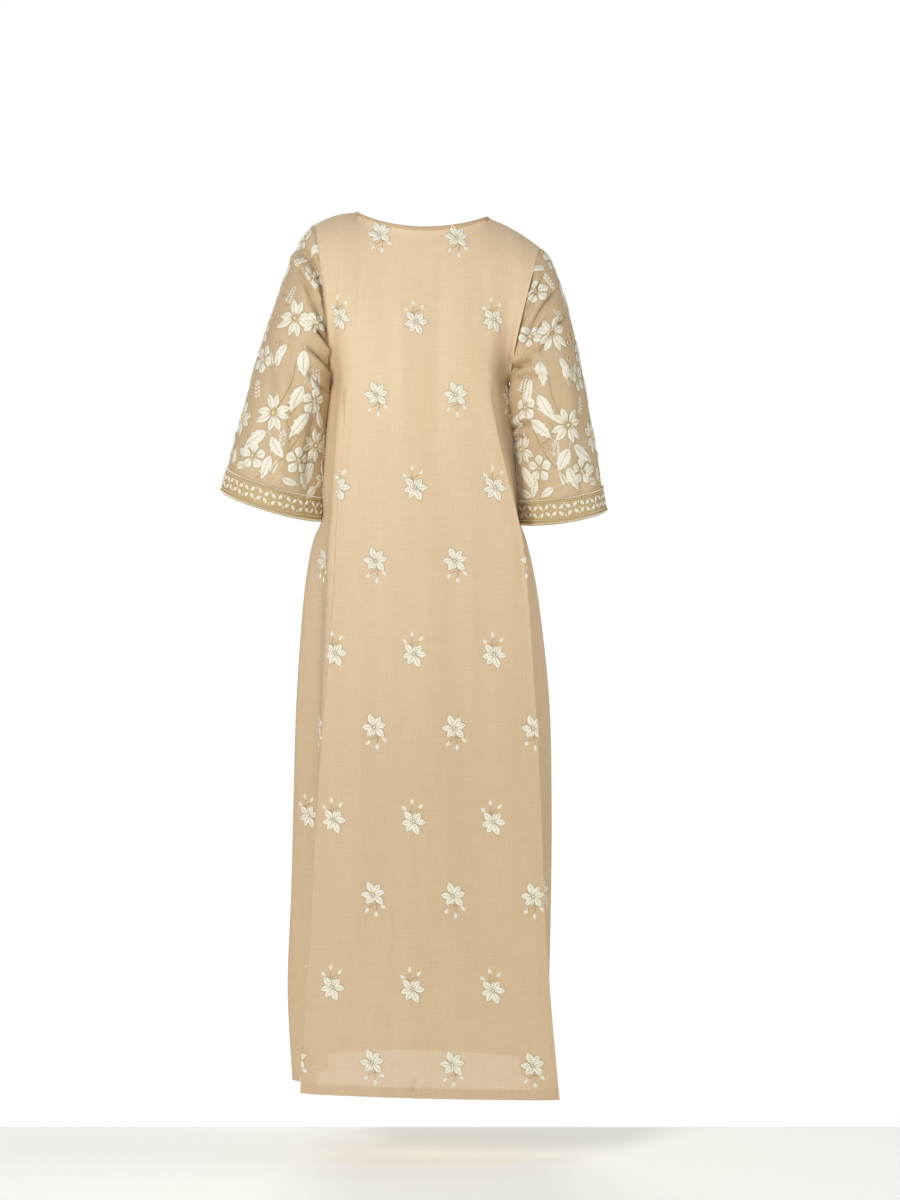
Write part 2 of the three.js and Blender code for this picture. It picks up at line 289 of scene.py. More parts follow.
def panel_points(face, u, v):
    """Points of a panel at u and v, from the hem to the top edge."""
    way, out = WAY[face], np.sign(u)
    low = plan_points(face, u, np.minimum(v, 1))
    top = top_points(face, u)
    edge = np.abs(u) ** 5
    shoulder = smooth(np.abs(u), 0.1, 0.6)
    leave_y, arrive_y, arrive_z = (
        mix(mix(middle, blade, shoulder), armhole, edge)
        for middle, blade, armhole in (YOKE_LEAVE, YOKE_ARRIVE, YOKE_RISE)
    )
    leave_z = mix(top[:, 2] - low[:, 2], ARMHOLE_LEAVE_UP, edge)
    leave = np.stack([out * -ARMHOLE_LEAVE_IN * edge, way * leave_y, leave_z], -1)
    reach = np.stack([out * ARMHOLE_ARRIVE_OUT * edge, -way * arrive_y, arrive_z], -1)
    return hermite(low, leave, top, reach, np.clip(v - 1, 0, 1)[:, None])


def grid_normals(grid, closed):
    """The way each point of a grid faces, with its columns running so that this is outwards."""
    if closed:
        across = np.roll(grid, -1, 1) - np.roll(grid, 1, 1)
    else:
        across = np.gradient(grid, axis=1)
    facing = np.cross(across, np.gradient(grid, axis=0))
    return facing / np.linalg.norm(facing, axis=2, keepdims=True)


def press(grid, closed, creases, way=None):
    """Presses soft troughs (-) and ridges (+) into a grid of cloth, seen square on from the back or
    the front. Each has a raised lip along one side, so that it lies like a fold of cloth."""
    facing = grid_normals(grid, closed)
    move = np.zeros(grid.shape[:2])
    for x0, z0, x1, z1, bow, width, depth, lip in creases:
        run = np.array([x1 - x0, z1 - z0], float)
        length = np.hypot(*run)
        run /= length
        dx, dz = grid[..., 0] - x0, grid[..., 2] - z0
        along = (dx * run[0] + dz * run[1]) / length
        aside = dx * -run[1] + dz * run[0] - bow * 4 * along * (1 - along)
        taper = smooth(along, -0.02, 0.3) * smooth(1 - along, -0.02, 0.3)
        trough = np.exp(-(np.abs(aside / width) ** 1.25))
        ridge = np.exp(-(((aside - 1.7 * width) / (1.2 * width)) ** 2))
        move += depth * taper * (trough - lip * ridge)
    if way is not None:
        move *= smooth(facing[..., 1] * way, -0.1, 0.3)
    return grid + facing * move[..., None]


def soften(grid, rounds, hold):
    """Evens a grid along its length. hold is the share of each column that stays as cut."""
    eased = grid.copy()
    for _ in range(rounds):
        eased[1:-1] = (eased[:-2] + 2 * eased[1:-1] + eased[2:]) / 4
    return mix(eased, grid, hold[None, :, None])


def survey(grid, closed, middle):
    """Measures the cloth: s across from its middle column, t up its length from row 0. Round a
    sleeve, s is what it would be at the cuff."""
    ahead = np.linalg.norm(np.roll(grid, -1, 1) - grid, axis=2)
    total = np.cumsum(ahead, axis=1)
    s = np.concatenate([np.zeros((len(grid), 1)), total[:, :-1]], 1)
    s = s - s[:, middle : middle + 1]
    if closed:
        s = s * total[0, -1] / total[:, -1:]
    steps = np.linalg.norm(np.diff(grid[:, middle], axis=0), axis=1)
    t = np.concatenate([[0], np.cumsum(steps)])
    both = np.concatenate([grid, grid_normals(grid, closed)], 2)
    return {"both": both, "s": s, "t": t, "round": total[0, -1] if closed else None}


def lay(cloth, s, t, lift):
    """Points at s and t of a cloth, lifted off it."""
    row = np.interp(t, cloth["t"], np.arange(len(cloth["t"])))
    low = np.minimum(row.astype(int), len(cloth["t"]) - 2)
    found = np.zeros((len(s), 6))
    for k in np.unique(low):
        here = np.nonzero(low == k)[0]
        for r, weight in ((k, 1 - (row[here] - k)), (k + 1, row[here] - k)):
            for c in range(6):
                one = np.interp(s[here], cloth["s"][r], cloth["both"][r, :, c], period=cloth["round"])
                found[here, c] += weight * one
    away = found[:, 3:] / np.linalg.norm(found[:, 3:], axis=1, keepdims=True)
    return found[:, :3] + away * np.asarray(lift)[:, None]


def grid_faces(rows, columns, closed):
    faces = []
    for r in range(rows - 1):
        for c in range(columns if closed else columns - 1):
            d = (c + 1) % columns
            low, high = r * columns, (r + 1) * columns
            faces.append((low + c, low + d, high + d, high + c))
    return faces


def cloth_object(name, grid, closed, material, s, t):
    """A sheet from a grid of points. s and t are the cloth's own measure, which its weave follows."""
    measure = np.stack(np.broadcast_arrays(s, t), -1).reshape(-1, 2)
    faces = grid_faces(*grid.shape[:2], closed)
    return mesh_object(name, grid.reshape(-1, 3), faces, [material], measure)


# Slub silk-cotton, plain woven and piece dyed: a soft sheen off the silk, thicker threads that
# show as faint streaks both ways, and light that comes through where only one layer hangs.
# The threads are 0.35 mm apart and are drawn about 1.3 mm apart, so that they show.
# Streaks per mm across and along, then detail: the weft's slubs, the warp's, and the dye's shade.
STREAKS = ((0.02, 0.75, 4.0), (0.85, 0.03, 4.0), (0.03, 0.002, 1.0))


def woven_silk_cotton(name, light, dark, sheer):
    material, tree = new_material(name)
    place = add(tree, "UVMap", uv_map="cloth")
    streaks = []
    for across, along, detail in STREAKS:
        scaled = add(tree, "Mapping", {"Vector": place.outputs[0], "Scale": (across, along, 1)})
        noise = {"Vector": scaled.outputs[0], "Scale": 1.0, "Detail": detail, "Roughness": 0.6}
        streaks.append(add(tree, "TexNoise", noise).outputs[0])
    grain = add(tree, "Math", {0: streaks[0], 1: streaks[1]}, operation="ADD")
    tone = add(tree, "Math", {0: streaks[2], 1: 0.45, 2: grain.outputs[0]}, operation="MULTIPLY_ADD")
    share = add(tree, "MapRange", {"Value": tone.outputs[0], "From Min": 0.58, "From Max": 1.87})
    colours = {0: share.outputs[0], 6: srgb(dark), 7: srgb(light)}
    colour = add(tree, "Mix", colours, data_type="RGBA", blend_type="MIX")
    bump = add(tree, "Bump", {"Height": grain.outputs[0], "Strength": 0.4, "Distance": 0.0008})
    cloth = add(
        tree,
        "BsdfPrincipled",
        {
            "Base Color": colour.outputs[2],
            "Roughness": 0.5,
            "Specular IOR Level": 0.4,
            "Sheen Weight": 0.22,
            "Sheen Roughness": 0.4,
            "Sheen Tint": srgb("#FFF3DC"),
            "Normal": bump.outputs[0],
        },
    )
    through = add(tree, "BsdfTranslucent", {"Color": colour.outputs[2], "Normal": bump.outputs[0]})
    # Towards the yoke less light comes through the cloth: painted shade that stands in for the
    # wearer's body behind it.
    height = add(tree, "SeparateXYZ", {"Vector": place.outputs[0]}).outputs[1]
    glow = {"Value": height, "From Min": 500, "From Max": 1150, "To Min": 0.24, "To Max": 0.05}
    through_share_painted_shade = add(tree, "MapRange", glow)
    lit = add(tree, "MixShader", {0: through_share_painted_shade.outputs[0], 1: cloth.outputs[0], 2: through.outputs[0]})
    gaps = add(tree, "BsdfTransparent")
    open_weave = {"Value": height, "From Min": 150, "From Max": 700, "To Min": sheer, "To Max": 0.0}
    open_share = add(tree, "MapRange", open_weave)
    seen = add(tree, "MixShader", {0: open_share.outputs[0], 1: lit.outputs[0], 2: gaps.outputs[0]})
    add(tree, "OutputMaterial", {"Surface": seen.outputs[0]})
    return material


body_cloth = woven_silk_cotton("slub_silk_cotton_plain_woven", "#E6D2B1", "#CFB289", 0.075)

# Creases in the two panels: from x, z to x, z, bow, width, depth (- in, + out), lip.
BACK_CREASES = (
    (-32, -55, -30, -520, 4, 26, -2.6, 0.4),
    (42, -70, 30, -430, -6, 22, 2.0, 0.3),
    (92, -40, 98, -330, 8, 18, -2.6, 0.3),
    (-92, -60, -104, -300, -8, 20, -2.8, 0.3),
    (128, -60, 124, -300, 6, 13, 2.6, 0.2),
    (-70, -150, -86, -640, 4, 24, 1.8, 0.3),
    (66, -380, 60, -900, 6, 30, -2.4, 0.4),
    (-10, -480, 4, -1080, -8, 36, 2.6, 0.3),
    (-72, -640, -88, -1240, 8, 34, -3.0, 0.4),
    (98, -760, 112, -1330, -8, 24, 2.6, 0.3),
    (34, -900, 40, -1420, 6, 30, -2.6, 0.3),
    (-128, -700, -150, -1400, -6, 22, 2.4, 0.3),
    (-30, -1130, -34, -1443, 4, 30, -2.2, 0.3),
    (-118, -278, -146, -420, 4, 9, -3.0, 0.5),
    (-108, -300, -128, -470, -5, 12, 2.2, 0.3),
    (116, -300, 128, -460, 5, 10, -2.2, 0.4),
    (17, -1448, 1, -1404, 1, 5, -4.5, 0.8),
)
FRONT_CREASES = (
    (-70, -60, -58, -330, 8, 18, -3.0, 0.3),
    (74, -60, 60, -360, -8, 20, -3.0, 0.3),
    (-20, -130, -16, -560, 4, 30, 2.4, 0.3),
    (36, -400, 50, -1000, 8, 32, -3.0, 0.4),
    (-60, -520, -74, -1180, -8, 34, 3.0, 0.3),
    (-10, -860, 4, -1410, 6, 34, -2.8, 0.3),
    (100, -700, 118, -1380, 6, 26, 2.8, 0.3),
    (-110, -640, -128, -1390, -6, 24, -2.8, 0.3),
    (-112, -290, -128, -440, 4, 10, -2.8, 0.4),
    (112, -300, 124, -470, 5, 11, -2.8, 0.4),
    (60, -1010, 66, -1420, 4, 24, 2.0, 0.3),
)
PANEL_COLUMNS, SKIRT_ROWS, YOKE_ROWS = 232, 210, 70
# Rounds of evening: up the whole panel, and across the yoke.
EASE_ROUNDS, CALM_ROUNDS = 60, 400
# How deep the seams pull the cloth in, how far that reaches, and how far creases stay off them.
SEAM_DIP, SEAM_REACH, CREASES_OFF = 1.3, 5.0, 18
# The fold down each corner of the skirt: how far its crest stands out and the cloth behind sinks.
CREST_OUT, CREST_WIDTH = 3.6, 3.4
HOLLOW_IN, HOLLOW_PLACE, HOLLOW_WIDTH = 9.0, 14.0, 8.0
# How much fuller the side is where the arm rests against it.
SIDE_SWELL = 6.0


def lengths_across(grid):
    """How far along its row each point of a grid lies."""
    steps = np.linalg.norm(np.diff(grid, axis=1, prepend=grid[:, :1]), axis=2)
    return np.cumsum(steps, axis=1)


def panel_grid(face, creases):
    """A panel's points, columns running so that it faces out, rows from the hem up."""
    u = np.linspace(-1, 1, PANEL_COLUMNS + 1)
    if face == "back":
        u = u[::-1]
    v = np.concatenate([np.linspace(0, 1, SKIRT_ROWS), np.linspace(1, 2, YOKE_ROWS + 1)[1:]])
    across, up = np.meshgrid(u, v)
    grid = panel_points(face, across.ravel(), up.ravel()).reshape(*across.shape, 3)
    grid = soften(grid, EASE_ROUNDS, np.abs(u) ** 8)
    below_top = np.abs(grid[-1, :, 2][None, :] - grid[..., 2])
    calm = grid.copy()
    for _ in range(CALM_ROUNDS):
        calm[:, 1:-1] = (calm[:, :-2] + 2 * calm[:, 1:-1] + calm[:, 2:]) / 4
    hold = smooth(up, 0.95, 1.2) * smooth(below_top, 0, 26) * smooth(1 - np.abs(across), 0, 0.12)
    grid = mix(grid, calm, hold[..., None])
    run = lengths_across(grid)
    fold = np.zeros(across.shape)
    for side in (-1, 1):
        column = np.argmin(np.abs(u - side * 0.5))
        away = (run - run[:, column : column + 1]) * np.sign(u[-1] - u[0]) * side
        fold += CREST_OUT * np.exp(-((away / CREST_WIDTH) ** 2))
        fold -= HOLLOW_IN * np.exp(-(((away - HOLLOW_PLACE) / HOLLOW_WIDTH) ** 2))
    fold *= smooth(1.02 - up, 0, 0.14)
    under_arm = smooth(up, 0.72, 0.82) * smooth(1.02 - up, 0, 0.06)
    swell = SIDE_SWELL * smooth(np.abs(across), 0.6, 0.9) * under_arm
    grid = grid + grid_normals(grid, False) * (fold + swell)[..., None]
    pressed = press(grid, False, creases)
    # The edges stay where they are sewn, and the cloth beside them dips into the seam.
    s = lengths_across(pressed)
    edge = np.minimum(s, s[:, -1:] - s)
    pressed = mix(grid, pressed, smooth(edge, 0, CREASES_OFF)[..., None])
    dip = SEAM_DIP * np.exp(-((edge / SEAM_REACH) ** 2))
    top = np.linalg.norm(pressed - pressed[-1:], axis=2)
    shoulder_dip = SEAM_DIP * np.exp(-((top / SEAM_REACH) ** 2))
    dip = np.maximum(dip, shoulder_dip * (np.abs(u) > NECK_U)[None, :])
    return pressed - grid_normals(pressed, False) * dip[..., None]


# Each panel: its cloth's measure, its piece, and the pieces that go with it.
panels = {}
for face, creases in (("back", BACK_CREASES), ("front", FRONT_CREASES)):
    grid = panel_grid(face, creases)
    cloth = survey(grid, False, PANEL_COLUMNS // 2)
    made = cloth_object(face + "_panel_cloth", grid, False, body_cloth, cloth["s"], cloth["t"][:, None])
    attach(made, "root")
    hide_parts(face + "_panel")
    panels[face] = {"cloth": cloth, "piece": made, "with": []}

# ---------------------------------------------------------------------------------------------
# The hem: 16 mm of the same cloth turned up inside and sewn by hand, so the edge is two layers
# thick and lets less light through.


def strip_along_edge(cloth, s, section):
    """A strip wrapped over a cloth's lower edge. section gives each row's height and lift."""
    rows = []
    for t, lift in section:
        row = lay(cloth, s, np.full(len(s), max(t, 0.0)), np.full(len(s), float(lift)))
        row[:, 2] += min(t, 0.0)
        rows.append(row)
    return np.array(rows), np.array([[t] for t, _ in section])


# The turning's section: how far above the edge, and how far out from the cloth
HEM_TURN = (
    (15.5, -0.7), (15.8, -1.2), (8.0, -1.3), (1.5, -1.2),
    (0.2, -1.0), (-0.5, -0.5), (-0.3, 0.15), (0.4, 0.25),
)
for face, panel in panels.items():
    s = panel["cloth"]["s"][0]
    grid, heights = strip_along_edge(panel["cloth"], s, HEM_TURN)
    made = cloth_object(face + "_hem_turning", grid, False, body_cloth, s, heights)
    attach(made, "root")
    panel["with"].append(made)

# ---------------------------------------------------------------------------------------------
# The sleeves: of the body's cloth, set in at the armholes, wide and straight-cut, three-quarter
# length. Folds run from the armholes, and the inner sides rest against the body.

# For each sleeve: the cuff's middle, its half width and half depth, how far its inner side and its
# back hang lower, and the pulls that take the cloth off the armhole and into the cuff.
SLEEVES = {
    "left": {
        "cuff": (252, -26, -482), "across": 82, "along": 82, "inner_drop": 25, "back_drop": 12,
        "off_top": (160, 0, -110), "off_under": (60, 0, -110),
        "into_outer": (95, -14, -320), "into_inner": (8, -14, -190),
    },
    "right": {
        "cuff": (-240, -26, -501), "across": 68, "along": 92, "inner_drop": 11, "back_drop": 12,
        "off_top": (-160, 0, -130), "off_under": (-62, 0, -110),
        "into_outer": (-60, -14, -320), "into_inner": (-8, -14, -190),
    },
}
BORDER_HEIGHT = 42
UPPER_ARM = 26
SLEEVE_COLUMNS, BORDER_ROWS, SLEEVE_ROWS = 220, 16, 175


def sleeve_points(side, turn, down):
    """turn goes round from the top (0) over the back to the underarm (0.5), down from the armhole
    (0) to the border (1) and the cuff's edge (2)."""
    sizes, out = SLEEVES[side], OUT[side]
    angle = turn * 2 * math.pi
    back = turn <= 0.5
    along = np.where(back, turn * 2, 2 - turn * 2)
    end_u = np.full(len(turn), float(out))
    back_edge = panel_points("back", end_u, 2 - along)
    start = np.where(back[:, None], back_edge, panel_points("front", end_u, 2 - along))
    x, y, z = sizes["cuff"]
    end = np.stack(
        [
            x + out * sizes["across"] * np.cos(angle),
            y + sizes["along"] * np.sin(angle),
            z + sizes["inner_drop"] * np.cos(angle) - sizes["back_drop"] * np.sin(angle),
        ],
        -1,
    )
    under = ((1 - np.cos(angle)) / 2)[:, None]
    leave = mix(np.array(sizes["off_top"], float), np.array(sizes["off_under"], float), under)
    leave[:, 1] += UPPER_ARM * 2 * np.sin(angle)
    into = mix(np.array(sizes["into_outer"], float), np.array(sizes["into_inner"], float), under)
    border = BORDER_HEIGHT / np.linalg.norm(into, axis=1)
    reach = np.where(down <= 1, down * (1 - border), 1 - border * (2 - down))
    return hermite(start, leave, end, into, reach[:, None])


# From x, z to x, z, bow, width, depth, lip; pressed in from the back or the front.
SLEEVE_CREASES = {
    ("left", "back"): (
        (208, -50, 150, -152, -6, 8, -16.0, 0.8),
        (192, -110, 146, -198, 5, 7, -7.0, 0.7),
        (182, -186, 134, -246, -5, 5, -13.0, 0.5),
        (176, -150, 140, -214, 4, 4, -6.5, 0.5),
        (196, -220, 140, -270, -4, 4, -8.0, 0.5),
        (186, -262, 144, -302, 4, 5, -7.0, 0.6),
        (214, -88, 176, -150, -4, 4, -6.0, 0.5),
        (220, -150, 196, -330, 9, 12, -4.0, 0.6),
        (252, -190, 266, -400, -9, 15, -4.0, 0.4),
        (168, -320, 186, -476, 6, 10, -6.0, 0.6),
        (222, -330, 240, -492, -5, 13, 4.0, 0.4),
        (262, -360, 276, -486, -4, 12, -4.0, 0.4),
        (196, -300, 214, -420, 5, 10, -3.0, 0.4),
    ),
    ("right", "back"): (
        (-176, -70, -136, -292, 6, 7, -13.0, 0.9),
        (-204, -54, -158, -200, 7, 7, -13.0, 0.9),
        (-218, -80, -170, -224, 9, 8, -8.5, 0.7),
        (-236, -112, -156, -260, 9, 6, -9.5, 0.6),
        (-196, -120, -148, -250, 6, 4, -7.0, 0.5),
        (-222, -160, -160, -262, 6, 4, -6.0, 0.5),
        (-250, -160, -190, -250, 6, 5, -5.0, 0.5),
        (-184, -242, -136, -262, -4, 6, -13.0, 0.9),
        (-214, -218, -150, -246, -5, 8, -7.0, 0.7),
        (-208, -276, -146, -282, 4, 7, -8.5, 0.8),
        (-240, -262, -176, -306, 6, 10, -4.0, 0.5),
        (-186, -350, -146, -362, 3, 6, -8.5, 0.8),
        (-178, -372, -148, -382, 3, 6, -7.0, 0.7),
        (-248, -200, -264, -420, -9, 13, -4.5, 0.5),
        (-188, -392, -200, -512, 5, 11, -5.0, 0.5),
        (-234, -360, -244, -508, -6, 14, 4.0, 0.4),
        (-262, -380, -270, -496, 4, 11, -4.0, 0.5),
    ),
    ("left", "front"): (
        (202, -58, 154, -172, -6, 8, -13.0, 0.8),
        (188, -180, 142, -248, -5, 7, -11.5, 0.8),
        (220, -180, 234, -380, 7, 14, -4.5, 0.5),
        (180, -300, 192, -464, 6, 11, -5.5, 0.5),
        (270, -300, 286, -480, -6, 14, 4.0, 0.4),
    ),
    ("right", "front"): (
        (-206, -64, -158, -212, 7, 8, -11.5, 0.8),
        (-190, -226, -146, -264, -5, 7, -10.0, 0.8),
        (-226, -190, -242, -402, -7, 14, -4.5, 0.5),
        (-186, -330, -192, -492, 5, 11, -5.5, 0.5),
        (-276, -300, -286, -488, 6, 13, 4.0, 0.4),
    ),
}
# How far the inner side of each sleeve is pressed towards the body it rests on.
REST_INWARD = {"left": 9.0, "right": 16.0}
# The seam's own dip in mm, and its reach. The deep crevice where the full sleeve folds in beside it,
# with its place and width. Reaches, places and widths here are shares of the sleeve's length.
ARMHOLE_DIP, ARMHOLE_REACH = 2.6, 0.018
CREVICE, CREVICE_PLACE, CREVICE_WIDTH = 8.0, 0.024, 0.017
# Puckers round the armhole, where a wide sleeve is eased into a smaller hole.
PUCKERS, PUCKER_DEPTH, PUCKER_PLACE = 23, 0.9, 0.05
# The same slub silk-cotton, closed up by the stitches it carries: a touch yellower, and with less
# light through it.
sleeve_cloth = woven_silk_cotton("slub_silk_cotton_embroidered_ground", "#E6D2AE", "#D0B388", 0.03)
# Each sleeve: its cloth's measure, its piece, and the pieces that go with it.
sleeves = {}
for side in SLEEVES:
    # The columns start at the middle of the back and run so that the cloth faces out.
    turn = (0.25 + OUT[side] * (np.arange(SLEEVE_COLUMNS) / SLEEVE_COLUMNS)) % 1
    down = np.concatenate([np.linspace(2, 1, BORDER_ROWS), np.linspace(1, 0, SLEEVE_ROWS + 1)[1:]])
    around, along = np.meshgrid(turn, down)
    grid = sleeve_points(side, around.ravel(), along.ravel()).reshape(*around.shape, 3)
    inner = np.exp(-(((around - 0.5) / 0.13) ** 2)) * smooth(along, 0.02, 0.28)
    grid[..., 0] -= OUT[side] * REST_INWARD[side] * inner
    loose = smooth(along, 0.0, 0.06) * smooth(2 - along, 0.2, 1.2)
    for (name, face), creases in SLEEVE_CREASES.items():
        if name == side:
            grid = mix(grid, press(grid, True, creases, WAY[face]), loose[..., None])
    uneven = np.sin(around * 2 * math.pi * PUCKERS + 2 * np.sin(around * 31))
    pucker = uneven * np.exp(-(((along - PUCKER_PLACE) / PUCKER_PLACE) ** 2))
    low = smooth(np.sin(around * 2 * math.pi) ** 2, 0.1, 0.5) * smooth(0.5 - np.abs(0.5 - around), 0.08, 0.2)
    dip = ARMHOLE_DIP * np.exp(-((along / ARMHOLE_REACH) ** 2)) + PUCKER_DEPTH * pucker
    dip += low * CREVICE * np.exp(-(((along - CREVICE_PLACE) / CREVICE_WIDTH) ** 2))
    grid = grid - grid_normals(grid, True) * dip[..., None]
    cloth = survey(grid, True, 0)
    half_round = cloth["round"] / 2
    # The weave's measure turns back at the middle of the sleeve's front, so that it meets itself.
    s = half_round - np.abs(cloth["s"] - half_round)
    made = cloth_object("sleeve_" + side + "_cloth", grid, True, sleeve_cloth, s, cloth["t"][:, None])
    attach(made, "root")
    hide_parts("sleeve_" + side)
    sleeves[side] = {"cloth": cloth, "piece": made, "with": []}

# ---------------------------------------------------------------------------------------------
# The sprigs: one small flower with a forked stem and three buds, repeated in half-drop rows over
# the whole body and turned over in every other row. Each is worked flat in silk satin stitch with a
# fine outline, in millimetres across and up the cloth, and then laid on it. All of it is relief.

IVORY, OUTLINE, STEM, GOLD, PEARL = range(5)


class Work:
    """Needlework on one cloth: points as s, t and lift, and the threads' own measure."""

    def __init__(self):
        self.points = []
        self.threads = []
        self.faces = []
        self.kinds = []
        self.count = 0

    def put(self, points, threads, faces, kinds):
        self.points.append(points)
        self.threads.append(threads)
        self.faces += [tuple(i + self.count for i in face) for face in faces]
        self.kinds += kinds
        self.count += len(points)


def heading(angle):
    """The step of 1 mm that an angle in degrees points to."""
    return math.cos(math.radians(angle)), math.sin(math.radians(angle))


def turned(points, s, t, angle):
    """Flat points turned by an angle in degrees and set down at s, t."""
    c, d = heading(angle)
    x, y = points[:, 0], points[:, 1]
    return np.stack([s + c * x - d * y, t + d * x + c * y, points[:, 2]], -1)


def cord(work, path, radius, lift, kind, closed=False, twist=0.0):
    """A couched thread along a flat path."""
    path = np.asarray(path, float)
    if closed:
        run = np.roll(path, -1, 0) - np.roll(path, 1, 0)
    else:
        run = np.gradient(path, axis=0)
    run = run / np.maximum(np.linalg.norm(run, axis=1, keepdims=True), 1e-6)
    side = np.stack([-run[:, 1], run[:, 0]], -1)
    angles = np.array([math.pi, math.pi / 2, 0, -math.pi / 2])
    rings = []
    for a in angles:
        height = np.full((len(path), 1), lift + radius * math.sin(a))
        rings.append(np.concatenate([path + side * radius * math.cos(a), height], 1))
    points = np.stack(rings, 1).reshape(-1, 3)
    length = np.cumsum(np.linalg.norm(np.diff(path, axis=0, prepend=path[:1]), axis=1))
    threads = np.stack([np.repeat(length, 4), np.tile(angles * radius, len(path))], -1)
    faces = []
    for i in range(len(path) if closed else len(path) - 1):
        j = (i + 1) % len(path)
        for k in range(4):
            m = (k + 1) % 4
            faces.append((i * 4 + k, i * 4 + m, j * 4 + m, j * 4 + k))
    work.put(points, threads, faces, [kind] * len(faces))


# A pad's grid: a runs along it, c across it.
PAD_ROWS, PAD_COLUMNS = 11, 7
PAD_FACES = grid_faces(PAD_ROWS, PAD_COLUMNS, False)
PAD_A = np.repeat(np.linspace(0, 1, PAD_ROWS), PAD_COLUMNS)
PAD_C = np.tile(np.linspace(-1, 1, PAD_COLUMNS), PAD_ROWS)
TEETH = 4.5


def pad(work, s, t, angle, length, width, belly=1.3, saw=0.0, curl=0.0, thick=1.5, line=True):
    """A satin-stitched petal or leaf: two slopes of thread that meet along a rib, with a couched
    outline. A belly over 1 is widest towards the tip. saw cuts teeth and curl bends it aside."""
    a, c = PAD_A, PAD_C
    wide = np.sin(math.pi * a**belly).clip(0) ** 0.9
    teeth = saw * np.sin(a * 2 * math.pi * TEETH) * np.abs(c) ** 3
    x = a * length + teeth * width * 0.5
    wide = wide * (1 + teeth)
    y = c * width / 2 * wide + curl * length * a * a
    dome = (1 - np.abs(c) ** 2.4) * np.sqrt(np.clip(wide, 0, 1)) * thick
    rib = 0.6 * thick * np.exp(-((c / 0.22) ** 2)) * (a < 0.85)
    points = np.stack([x, y, 0.25 + dome - rib], -1)
    threads = np.stack([x + np.abs(c) * width * 0.3, y], -1)
    work.put(turned(points, s, t, angle), threads, PAD_FACES, [IVORY] * len(PAD_FACES))
    if not line:
        return
    b = np.linspace(0.02, 0.98, 9)
    w = np.sin(math.pi * b**belly) ** 0.9 * width / 2 + 0.15
    bend = curl * length * b * b
    edge = np.concatenate([np.stack([b * length, bend + w], -1), np.stack([b * length, bend - w], -1)[::-1]])
    edge = turned(np.concatenate([edge, np.zeros((len(edge), 1))], 1), s, t, angle)[:, :2]
    cord(work, edge, 0.34, 0.4, OUTLINE, closed=True)
    b = np.linspace(0.12, 0.78, 5)
    vein = np.stack([b * length, curl * length * b * b, b * 0], -1)
    cord(work, turned(vein, s, t, angle)[:, :2], 0.3, thick * 0.55 + 0.2, OUTLINE)


BEAD_ROUNDS, BEAD_SLICES = 3, 6


def bead(work, s, t, angle, length, width, height, kind, lift=0.2):
    """A bead, or a knot of thread."""
    points, faces = [], []
    for r in range(BEAD_ROUNDS):
        rise = math.pi / 2 * r / BEAD_ROUNDS
        for k in range(BEAD_SLICES):
            a = 2 * math.pi * k / BEAD_SLICES
            x = math.cos(rise) * math.cos(a) * length / 2
            y = math.cos(rise) * math.sin(a) * width / 2
            points.append((x, y, lift + math.sin(rise) * height))
    points.append((0, 0, lift + height))
    for r in range(BEAD_ROUNDS):
        low, high = r * BEAD_SLICES, (r + 1) * BEAD_SLICES
        for k in range(BEAD_SLICES):
            m = (k + 1) % BEAD_SLICES
            top = (high + m, high + k) if r < BEAD_ROUNDS - 1 else (high,)
            faces.append((low + k, low + m, *top))
    points = np.array(points)
    work.put(turned(points, s, t, angle), points[:, :2], faces, [kind] * len(faces))


# How far either side of its place a motif looks to find the lie of the cloth.
FEEL = 7.0


def plant(work, cloth, s, t, motif, *sizes):
    """Works a motif flat, then sets it at s, t with its own up along the cloth's length. Rows and
    columns of a sleeve cross at a slant and lie unevenly, and this undoes both."""
    flat = Work()
    motif(flat, *sizes)
    near = lay(cloth, s + np.array([-FEEL, FEEL, 0, 0]), t + np.array([0, 0, -FEEL, FEEL]), np.zeros(4))
    across, up = (near[1] - near[0]) / (2 * FEEL), (near[3] - near[2]) / (2 * FEEL)
    length = np.linalg.norm(up)
    slant = across @ up / length
    width = math.sqrt(max(across @ across - slant * slant, 0.05))
    points = np.concatenate(flat.points)
    ds = points[:, 0] / width
    dt = (points[:, 1] - ds * slant) / length
    placed = np.stack([s + ds, t + dt, points[:, 2]], -1)
    work.put(placed, np.concatenate(flat.threads), flat.faces, flat.kinds)


def finish_work(work, name, cloth, lift=0.0):
    """Lays the needlework on its cloth as one piece."""
    points = np.concatenate(work.points)
    placed = lay(cloth, points[:, 0], points[:, 1], points[:, 2] + lift)
    made = mesh_object(name, placed, work.faces, THREADS, np.concatenate(work.threads), work.kinds)
    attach(made, "root")
    return made
